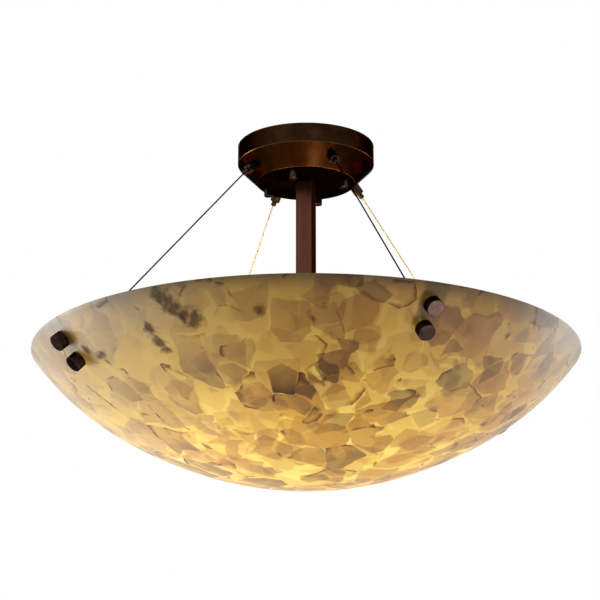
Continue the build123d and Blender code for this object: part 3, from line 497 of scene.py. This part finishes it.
# How much of the lamps' light comes through: all of it at the bottom, then less by a share from
# one height in mm above the bottom to another, and uneven over patches this many mm across
BOTTOM_GLOW = 1.0
GLOW_LOSSES = ((14.0, 56.0, 0.42), (50.0, 123.0, 0.38))
GLOW_PATCH = 85.0
glow = BOTTOM_GLOW
for low, high, loss in GLOW_LOSSES:
    lost = add(tree, "MapRange", {"Value": height, "From Min": bottom + low,
                                  "From Max": bottom + high, "To Max": -loss})
    glow = add(tree, "Math", [lost, glow], operation="ADD")
patches = add(tree, "TexNoise", {"Vector": mm, "Scale": 1 / GLOW_PATCH, "Detail": 2.0,
                                 "Roughness": 0.55})
patches = add(tree, "Math", [patches, 0.5, 0.75], operation="MULTIPLY_ADD")
glow = add(tree, "Math", [glow, patches], operation="MULTIPLY")

# Each hanger bracket, a strip 22 mm wide on the inner wall, throws a soft shadow on the wall
# from its foot upwards; its sides fade between these widths from the middle
BRACKET_SHADOW = 0.72
SHADOW_ENDS, SHADOW_FULL = 14.0, 9.0
for side, side_turn in SIDE_TURNS.items():
    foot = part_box(f"hanger_bracket_{side}")[0].z * 1000
    out = Vector((cos(radians(side_turn)), sin(radians(side_turn)), 0))
    beside = add(tree, "VectorMath", [mm, (-out.y, out.x, 0)], operation="DOT_PRODUCT")
    beside = add(tree, "Math", [beside], operation="ABSOLUTE")
    ahead = add(tree, "VectorMath", [mm, out], operation="DOT_PRODUCT")
    shadow = only_where(BRACKET_SHADOW, (beside, SHADOW_ENDS, SHADOW_FULL), (ahead, 0.0, 50.0),
                        (height, foot - 6.0, foot + 8.0))
    left = add(tree, "Math", [1.0, shadow], operation="SUBTRACT")
    glow = add(tree, "Math", [glow, left], operation="MULTIPLY")

# The last 10 mm below the rim's edge, where the wall ends, let little through
EDGE_STARTS, EDGE_FULL, EDGE_LEFT = 112.0, 122.0, 0.4
rim = add(tree, "MapRange", {"Value": height, "From Min": bottom + EDGE_STARTS,
                             "From Max": bottom + EDGE_FULL, "To Min": 1.0,
                             "To Max": EDGE_LEFT})
glow = add(tree, "Math", [glow, rim], operation="MULTIPLY")

# The polish is a little uneven, over 14 mm
polish = add(tree, "TexNoise", {"Vector": mm, "Scale": 1 / 14, "Detail": 3.0, "Roughness": 0.55})
matt = add(tree, "MapRange", {"Value": polish, "To Min": 0.30, "To Max": 0.46})
give(shader, {"Base Color": face, "Emission Color": light, "Emission Strength": glow,
              "Roughness": matt, "Specular IOR Level": 0.2})
bowl = make_piece("stone_bowl", bowl_mesh, stone)
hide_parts("bowl")

# ---------------------------------------------------------------------------- cables
# Each cable is seven steel wires laid into one strand, 1.5 mm thick. It comes out of its
# gripper and runs straight to a ball in the hanger bracket.
# Radius and height of the points that it follows; those beside the bend keep it short
CABLE_ROUTE = (
    (0.0418, -0.0126), (0.0626, -0.0334), (0.0690, -0.0398), (0.0749, -0.0466),
    (0.2336, -0.2314),
)
WIRE_R = 0.00025
OUTER_WIRES = 6
LAY = 0.0105                       # length of one turn of a wire
LAY_STEPS = 14

# Steel wire, drawn and laid, in a shaded and a lit copy: two cables are painted near black as
# shade, the two at the back pale and warm as painted light from the lamps.
WIRE_TONES = {
    "painted_shade_steel_wire": ("#0c0907", "#1b140f"),
    "painted_lit_steel_wire": ("#b9ab88", "#d6caac"),
}
WIRE_OF = {"right": "painted_lit_steel_wire", "back": "painted_lit_steel_wire",
           "left": "painted_shade_steel_wire", "front": "painted_shade_steel_wire"}
wires = {}
for name, (low_tone, high_tone) in WIRE_TONES.items():
    wires[name], tree, shader, mm = material(name)
    oil = add(tree, "TexNoise", {"Vector": mm, "Scale": 1 / 5, "Detail": 3.0})
    tone = add(tree, "ValToRGB", [oil], [(0.3, low_tone), (0.7, high_tone)])
    give(shader, {"Base Color": tone, "Roughness": 0.55, "Metallic": 1.0,
                  "Specular Tint": linear(high_tone)})


def smooth_route(name, turned):
    """Points along a cable's route, read from a smooth curve, at its turn about the stem."""
    route = bpy.data.curves.new(name + "_route", "CURVE")
    route.dimensions = "3D"
    line = route.splines.new("NURBS")
    line.points.add(len(CABLE_ROUTE) - 1)
    for point, (radius, level) in zip(line.points, CABLE_ROUTE):
        point.co = (*(turned @ Vector((radius, 0, level))), 1)
    line.order_u = 3
    line.use_endpoint_u = True
    line.resolution_u = 60
    holder = bpy.data.objects.new(name + "_route", route)
    sampled = bpy.data.meshes.new_from_object(holder)
    bpy.data.objects.remove(holder)
    return [vertex.co.copy() for vertex in sampled.vertices]


def strand(name, side_turn, wire_steel):
    """Seven wires along one cable's route: six laid round a straight core."""
    turned = Matrix.Rotation(side_turn, 4, "Z")
    path = smooth_route(name, turned)
    stations = []
    along = 0.0
    for start, end in zip(path, path[1:]):
        length, forward = (end - start).length, (end - start).normalized()
        steps = max(1, round(length / (LAY / LAY_STEPS)))
        for i in range(steps):
            stations.append((start.lerp(end, i / steps), along + length * i / steps, forward))
        along += length
    stations.append((path[-1], along, (path[-1] - path[-2]).normalized()))

    laid = bpy.data.curves.new(name, "CURVE")
    laid.dimensions = "3D"
    laid.bevel_depth = WIRE_R
    laid.bevel_resolution = 1
    across = turned @ Vector((0, 1, 0))
    for wire in range(OUTER_WIRES + 1):
        spline = laid.splines.new("POLY")
        spline.points.add(len(stations) - 1)
        reach = 0 if wire == OUTER_WIRES else 2 * WIRE_R
        for point, (at, length, forward) in zip(spline.points, stations):
            turn = 2 * pi * (length / LAY + wire / OUTER_WIRES)
            side = across * cos(turn) + across.cross(forward) * sin(turn)
            point.co = (*(at + side * reach), 1)
    holder = bpy.data.objects.new(name, laid)
    mesh = bpy.data.meshes.new_from_object(holder)
    bpy.data.objects.remove(holder)
    return make_piece(name, mesh, wire_steel)


for side, side_turn in SIDE_TURNS.items():
    laid_cable = strand(f"laid_cable_{side}", radians(side_turn), wires[WIRE_OF[side]])
    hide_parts(f"cable_{side}")

# ---------------------------------------------------------------------------- studio
# A plain pale floor 2 m below the ceiling, a white surround, and soft lamps. The floor has a
# softbox that lights it alone and throws no light back, so nothing tints the bowl from below.
FLOOR_Z, FLOOR_HALF = -2.0, 6.0

# Matt floor paint, rolled on: off white, with faint dusty patches of 400 mm.
floor_paint, tree, shader, mm = material("pale_floor_paint")
dust = add(tree, "TexNoise", {"Vector": mm, "Scale": 1 / 400, "Detail": 3.0})
tone = add(tree, "ValToRGB", [dust], [(0.3, "#e6e5e2"), (0.7, "#ecebe8")])
give(shader, {"Base Color": tone, "Roughness": 0.8})

bm = bmesh.new()
bmesh.ops.create_grid(bm, x_segments=1, y_segments=1, size=FLOOR_HALF,
                      matrix=Matrix.Translation((0, 0, FLOOR_Z)))
floor_mesh = bpy.data.meshes.new("studio_floor")
bm.to_mesh(floor_mesh)
bm.free()
floor_mesh.materials.append(floor_paint)
floor = bpy.data.objects.new("studio_floor", floor_mesh)
floor.visible_diffuse = False
scene.collection.objects.link(floor)
lit_alone = bpy.data.collections.new("lit_by_floor_softbox")
lit_alone.objects.link(floor)

# The surround is white to the camera and in reflections and transparency, and gives off only
# this share of its light
SURROUND_LIGHT = 0.02
world = bpy.data.worlds.new("studio_surround")
scene.world = world
world.use_nodes = True
tree = world.node_tree
ray = add(tree, "LightPath").outputs
seen = add(tree, "Math", [ray["Is Camera Ray"], ray["Is Glossy Ray"]], operation="MAXIMUM")
seen = add(tree, "Math", [seen, ray["Is Transmission Ray"]], operation="MAXIMUM")
strength = add(tree, "MapRange", {"Value": seen, "To Min": SURROUND_LIGHT, "To Max": 1.0})
give(tree.nodes["Background"], {"Color": linear("#ffffff"), "Strength": strength})


def softbox(name, place, aim, size, power, code, spread=180):
    """Square lamp at a place that points at an aim; a grid narrows its spread, in degrees."""
    lamp = bpy.data.lights.new(name, "AREA")
    lamp.shape = "SQUARE"
    lamp.size = size
    lamp.energy = power
    lamp.color = linear(code)[:3]
    lamp.spread = radians(spread)
    holder = bpy.data.objects.new(name, lamp)
    facing = (Vector(aim) - Vector(place)).to_track_quat("-Z", "Y").to_matrix().to_4x4()
    holder.matrix_world = Matrix.Translation(place) @ facing
    scene.collection.objects.link(holder)
    return holder


floor_lamp = softbox("floor_softbox", (0, 0, 2.2), (0, 0, -1.0), 2.4, 240, "#ffffff")
floor_lamp.light_linking.receiver_collection = lit_alone
softbox("left_softbox", (-1.7, 1.75, -0.62), (-0.15, 0, -0.25), 1.3, 7.7, "#f6f8ff", 50)
softbox("right_softbox", (2.07, 0.12, -0.50), (0.15, -0.1, -0.25), 1.3, 3.7, "#f8f7fa", 50)
softbox("front_softbox", (-2.05, -1.2, 0.65), (0, 0, -0.12), 0.5, 2.5, "#ffffff")
softbox("finial_card", (0.335, -0.568, -0.847), (0, -0.245, -0.262), 0.16, 0.016, "#ffdcd8", 30)

# The camera, solved from the outlines of the bowl, canopy and stem in the photograph: place in
# m, tilt up from level and turn from the y axis in degrees, and focal length in pixels
CAMERA_AT = (-0.8772, -1.7215, -0.7543)
CAMERA_TILT, CAMERA_TURN = 17.19, -26.83
FOCAL_PX, FRAME_PX = 2103.1, 600.0
lens = bpy.data.cameras.new("photo_camera")
lens.sensor_width = 36.0
lens.lens = FOCAL_PX / FRAME_PX * lens.sensor_width
camera = bpy.data.objects.new("photo_camera", lens)
camera.location = CAMERA_AT
camera.rotation_euler = (radians(90 + CAMERA_TILT), 0, radians(CAMERA_TURN))
scene.collection.objects.link(camera)
scene.camera = camera
scene.view_settings.view_transform = "Standard"
